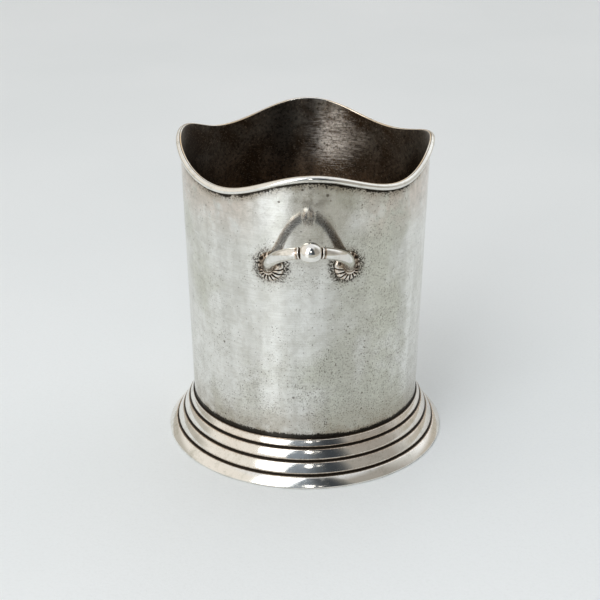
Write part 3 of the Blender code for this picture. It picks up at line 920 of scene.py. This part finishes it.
def make_casting_mesh():
    """The right arm with its boss: flutes cut in the boss, grime in them and where pieces join, and painted
    shade at the boss's inner edge and on the side facing the wall.
    """
    mesh = melted(raw_casting())
    count = len(mesh.vertices)
    points, normals = np.empty(count * 3), np.empty(count * 3)
    mesh.vertices.foreach_get("co", points)
    mesh.vertices.foreach_get("normal", normals)
    points, normals = points.reshape(-1, 3), normals.reshape(-1, 3)
    into_boss = np.array(boss_frame().inverted())
    u, v, w = (points @ into_boss[:3, :3].T + into_boss[:3, 3]).T
    gap, angle = nearest_on_bow(points)
    off_arm = np.clip((gap - ARM_ROOT_RADIUS - 0.3 * MM) / (0.8 * MM), 0, 1)
    reach = np.hypot(u / BOSS_HALF_WIDTH, v / BOSS_HALF_HEIGHT)
    on_boss = np.clip((1.18 - reach) / 0.14, 0, 1)
    on_boss = on_boss * np.clip((BOSS_DOME + 2 * MM - w) / (2 * MM), 0, 1)

    # Flutes that fan out from the foot of the arm and are worn away in places, and lumps on the boss
    across, up = u - FLUTE_CENTRE[0], v - FLUTE_CENTRE[1]
    turn = np.arctan2(up, across)
    from_centre = np.hypot(across, up)
    off_groove = np.abs(np.sin((turn + math.pi / 2) * FLUTES / 2)) * from_centre * 2 / FLUTES
    groove = np.clip(1 - off_groove / (0.62 * MM), 0, 1) * off_arm * on_boss
    groove *= np.clip((from_centre - 3.2 * MM) / (1.0 * MM), 0, 1)
    groove *= np.clip(0.75 - up / (5 * MM) + dent(points, 0.5, 2.6 * MM, seed=5.2), 0, 1)
    lumps = dent(points, 0.5 * MM, 3.2 * MM, seed=2.9) * off_arm * on_boss
    lumps = lumps * np.clip(0.3 + up / (6 * MM), 0, 1)
    points = points + normals * (lumps - FLUTE_DEPTH * groove)[:, None]
    mesh.vertices.foreach_set("co", points.ravel())

    # Grime in the flutes; at the wall a dark joint, with a painted shadow along the boss's inner edge; grime
    # round the arm's foot, on the neglected side and at the collar; tarnish and painted shade where it faces
    # the wall
    wall_gap = np.hypot(points[:, 0], points[:, 1]) - drum_radius(points[:, 2])
    grime = np.clip(groove * 2.2, 0, 1)
    inner_edge_shadow = np.clip(0.45 - u / (6 * MM), 0.12, 1)
    grime = np.maximum(grime, on_boss * inner_edge_shadow * np.clip(1.3 - wall_gap / (1.3 * MM), 0, 1))
    crease = np.clip(1 - np.abs(gap - ARM_ROOT_RADIUS - 0.5 * MM) / (1.0 * MM), 0, 1)
    grime = np.maximum(grime, 0.55 * crease * on_boss)
    neglected = np.clip(0.34 + up / (12 * MM) + u / (24 * MM), 0.20, 0.55) * off_arm * on_boss
    neglected *= np.clip(0.8 + dent(points, 1.3, 1.7 * MM, seed=7.7), 0, 1.3)
    grime = np.maximum(grime, neglected)
    tip = bow_angle_at(BEAD_RADIUS + 2 * COLLAR_HALF)
    end = np.linalg.norm(points - np.array(bow_point(tip)), axis=1) - ARM_TIP_RADIUS
    grime = np.maximum(grime, np.clip(0.42 - end / (0.9 * MM), 0, 1) * (angle > 1.0))
    set_attribute(mesh, "grime", np.maximum(grime, unpolished_and_shaded(points, normals)))
    mesh.shade_smooth()
    mesh.update()
    return mesh


def unpolished_and_shaded(points, normals):
    """How much each point faces the wall: tarnish where a polishing cloth doesn't reach, and painted shade on
    that shaded side.
    """
    outward = points[:, :2] / np.hypot(points[:, 0], points[:, 1])[:, None]
    facing = -(normals[:, :2] * outward).sum(axis=1)
    return 0.66 * np.clip(facing * 1.3 + 0.12, 0, 1)


def turned_on(place, profile):
    """A solid turned about a frame's Z, where its profile of (radius, along, grime and painted shade) starts
    and ends.
    """
    radius, along, grime = np.array(profile).T[:, :, None]
    points = ring_points(radius, along, all_round(TURNED_COLUMNS))
    mesh = grid_mesh("turned", points, closed=False, grime=grime)
    mesh.transform(place)
    return mesh


def make_bead_mesh():
    """The olive bead at the middle of the bow, grimy at its ends and, in patches, tarnished and painted in
    shade where it faces the wall.
    """
    along = BEAD_RADIUS * np.sin(np.linspace(-math.pi / 2, math.pi / 2, BEAD_RINGS))
    radius = BEAD_RADIUS * np.sqrt(1 - (along / BEAD_REACH) ** 2)
    grime = np.clip((np.abs(along) - 6.9 * MM) / (0.5 * MM), 0, 1)
    profile = [(0, along[0], 1), *zip(radius, along, grime), (0, along[-1], 1)]
    place = Matrix.Translation(BEAD_CENTRE) @ Matrix.Rotation(math.pi / 2, 4, "Y")
    mesh = turned_on(place, profile)
    points = np.array([v.co for v in mesh.vertices])
    normals = np.array([v.normal for v in mesh.vertices])
    values = np.array([d.value for d in mesh.attributes["grime"].data])
    patchy = np.clip(0.65 + dent(points, 1.3, 2.4 * MM, seed=6.4), 0.1, 1.1)
    grime = np.maximum(values, patchy * unpolished_and_shaded(points, normals))
    mesh.attributes["grime"].data.foreach_set("value", grime)
    return mesh


def make_collar_mesh():
    """The ring between the right arm and the bead, round on its edge and dark at its sides."""
    profile = [(0, -COLLAR_HALF, 1)]
    for angle in np.linspace(-math.pi / 2, math.pi / 2, COLLAR_RINGS):
        radius = COLLAR_RADIUS - COLLAR_HALF + COLLAR_HALF * math.cos(angle)
        profile.append((radius, COLLAR_HALF * math.sin(angle), 0.42 * abs(math.sin(angle)) ** 2))
    profile.append((0, COLLAR_HALF, 1))
    return turned_on(bow_frame(bow_angle_at(BEAD_RADIUS + COLLAR_HALF)), profile)


def copied(mesh, name, matrix):
    made = mesh.copy()
    made.name = name
    made.transform(matrix)
    if matrix.determinant() < 0:
        made.flip_normals()
    return made


def make_handles():
    """Both handles, from one casting, one collar and one bead."""
    casting, collar, bead = make_casting_mesh(), make_collar_mesh(), make_bead_mesh()
    for end, turn in (("front", 0.0), ("back", math.pi)):
        about = Matrix.Rotation(turn, 4, "Z")
        name = f"{end}_bow_bead"
        add_piece(name, copied(bead, name, about), "plated_handle", [f"{end}_bead"], HANDLE_SILVER)
        for side, sign in (("left", -1), ("right", 1)):
            matrix = about @ Matrix.Diagonal((sign, 1, 1, 1))
            name = f"{end}_{side}_casting"
            nodes = [f"{end}_{side}_arm", f"{end}_{side}_boss"]
            add_piece(name, copied(casting, name, matrix), "plated_handle", nodes, HANDLE_SILVER)
            name = f"{end}_{side}_ring"
            nodes = [f"{end}_{side}_collar"]
            add_piece(name, copied(collar, name, matrix), "plated_handle", nodes, HANDLE_SILVER)


# ---- the stage ----

WORLD_STRENGTH = 0.92
TABLE_EDGE = -0.43  # along Y
STAGE_HALF = 6.0
STAGE_PALE = (0.82, 0.85, 0.86)
STAGE_PALEST = (0.86, 0.885, 0.895)
STAGE_GRAIN = (0.60, 0.61, 0.60)

CAMERA_PLACE = (-0.0298, -1.0031, 0.5587)
CAMERA_BEARING = 88.52  # degrees from +X
CAMERA_PITCH = 24.45  # degrees down
CAMERA_SENSOR = 36.0
CAMERA_LENS = 87.1

LIGHTS_AIM = (0, 0, 0.12)
# Name, azimuth and elevation in degrees, distance, width, height, power and colour
LIGHTS = (
    ("window", -120.8, 40, 2.4, 1.10, 2.8, 22.0, (0.93, 0.97, 1.0)),
    ("lamp", -87.7, 34, 1.6, 0.08, 0.30, 0.75, (1.0, 0.98, 0.94)),
    ("small_lamp", -78.5, 34, 1.6, 0.07, 0.08, 0.03, (1.0, 0.98, 0.94)),
)

# The room as (bearing, colour) stops. A bearing is in degrees, 0 towards -Y and 90 towards +X.
WALLS = (
    (-180, (0.85, 0.84, 0.80)),
    (-110, (1.00, 0.95, 0.88)),
    (-20, (0.97, 0.92, 0.85)),
    (10, (0.40, 0.37, 0.33)),
    (80, (0.40, 0.38, 0.35)),
    (100, (0.70, 0.70, 0.68)),
    (120, (1.15, 1.18, 1.20)),
    (150, (1.15, 1.18, 1.20)),
)
CEILING = (0.92, 0.94, 0.98)
SCREEN = (  # dark, in front
    (-18, (0.27, 0.31, 0.36)),
    (-2, (0.25, 0.29, 0.34)),
    (8, (0.13, 0.15, 0.17)),
    (18, (0.052, 0.060, 0.070)),
    (25, (0.052, 0.060, 0.070)),
    (32, (0.10, 0.105, 0.11)),
    (38, (0.30, 0.29, 0.27)),
)
WAINSCOT = (0.58, 0.55, 0.49)  # low on the walls behind
BELOW = (  # lower than the table's top
    (-55, (0.78, 0.76, 0.72)),
    (-42, (1.17, 1.20, 1.22)),
    (-24, (1.18, 1.21, 1.23)),
    (-12, (0.57, 0.56, 0.52)),
    (35, (0.54, 0.525, 0.47)),
    (80, (0.59, 0.57, 0.52)),
    (120, (0.90, 0.90, 0.88)),
)


def floor_paint():
    f = Finish("floor_paint", metallic=0.0)
    broad = f.noise(0.5, detail=3)
    fine = f.noise(0.012, detail=6, roughness=0.6)
    grain = f.noise(0.0022, detail=3, roughness=0.7)
    colour = f.mix(f.between(broad, 0.3, 0.7), STAGE_PALE, STAGE_PALEST)
    colour = f.mix(f.between(grain, 0.45, 0.70, 0.0, 0.10), colour, STAGE_GRAIN)
    relief = f.total(fine, f.product(grain, 0.35))
    return f.output(colour, 0.6, f.bump(relief, 0.35 * MM))


def make_stage():
    """A plain floor. Only the part of it by the bucket shows in reflections, as a table's top would."""
    paint = floor_paint()
    for name, near_edge, far_edge in (
        ("studio_floor", TABLE_EDGE, STAGE_HALF),
        ("studio_floor_front", -STAGE_HALF, TABLE_EDGE),
    ):
        mesh = bpy.data.meshes.new(name)
        near = [(-STAGE_HALF, near_edge, 0), (STAGE_HALF, near_edge, 0)]
        far = [(STAGE_HALF, far_edge, 0), (-STAGE_HALF, far_edge, 0)]
        mesh.from_pydata(near + far, [], [(0, 1, 2, 3)])
        mesh.materials.append(paint)
        floor = bpy.data.objects.new(name, mesh)
        floor.visible_glossy = far_edge > 0
        bpy.context.scene.collection.objects.link(floor)


def direction(azimuth, elevation):
    """The unit vector towards an azimuth and elevation in degrees."""
    a, e = math.radians(azimuth), math.radians(elevation)
    return Vector((math.cos(a) * math.cos(e), math.sin(a) * math.cos(e), math.sin(e)))


def add_light(name, azimuth, elevation, distance, width, height, power, colour):
    data = bpy.data.lights.new(name, "AREA")
    data.shape = "RECTANGLE"
    data.size = width
    data.size_y = height
    data.energy = power
    data.color = colour
    light = bpy.data.objects.new(name, data)
    towards = direction(azimuth, elevation)
    light.location = Vector(LIGHTS_AIM) + towards * distance
    light.rotation_euler = towards.to_track_quat("Z", "Y").to_euler()
    bpy.context.scene.collection.objects.link(light)


def share_of_turn(bearing):
    """Where a bearing in degrees lies between 0 and 1, from -180 to 180."""
    return bearing / 360 + 0.5


def make_world():
    """A pale room: bright at the left and above, dim at the right, with a dark screen in front."""
    world = bpy.data.worlds.new("studio")
    bpy.context.scene.world = world
    world.use_nodes = True
    f = Nodes(world.node_tree)
    x, y, z = f.xyz(f.add("ShaderNodeTexCoord").outputs["Generated"])
    bearing = f.math("MULTIPLY_ADD", f.math("ARCTAN2", x, f.math("MULTIPLY", y, -1)), 1 / TURN, 0.5)
    walls, screen, below = (
        f.ramp(bearing, [(share_of_turn(degrees), colour) for degrees, colour in stops])
        for stops in (WALLS, SCREEN, BELOW)
    )
    colour = f.mix(f.between(z, 0.72, 0.97), walls, CEILING)
    left, right = share_of_turn(SCREEN[0][0]), share_of_turn(SCREEN[-1][0])
    in_front = f.product(
        f.between(bearing, left - 0.002, left + 0.002),
        f.between(bearing, right + 0.008, right),
        f.between(z, 0.97, 0.92),
    )
    colour = f.mix(in_front, colour, screen)
    behind = f.product(f.between(y, 0.0, 0.25), f.between(z, 0.42, 0.18))
    colour = f.mix(behind, colour, WAINSCOT)
    colour = f.mix(f.between(z, 0.02, -0.03), colour, below)
    background = f.tree.nodes["Background"]
    f.feed(background.inputs["Color"], colour)
    background.inputs["Strength"].default_value = WORLD_STRENGTH


def make_camera():
    """The photograph's viewing angle: a long lens from the front, a little to the left, and above."""
    data = bpy.data.cameras.new("camera")
    data.sensor_width = CAMERA_SENSOR
    data.lens = CAMERA_LENS
    camera = bpy.data.objects.new("camera", data)
    camera.location = CAMERA_PLACE
    pitch, heading = math.radians(CAMERA_PITCH), math.radians(CAMERA_BEARING - 90)
    camera.rotation_euler = (math.pi / 2 - pitch, 0, heading)
    bpy.context.scene.collection.objects.link(camera)
    bpy.context.scene.camera = camera


make_camera()
make_wall()
make_wire()
make_floor()
make_foot()
make_handles()
make_stage()
make_world()
for light in LIGHTS:
    add_light(*light)
bpy.context.scene.view_settings.view_transform = "Standard"
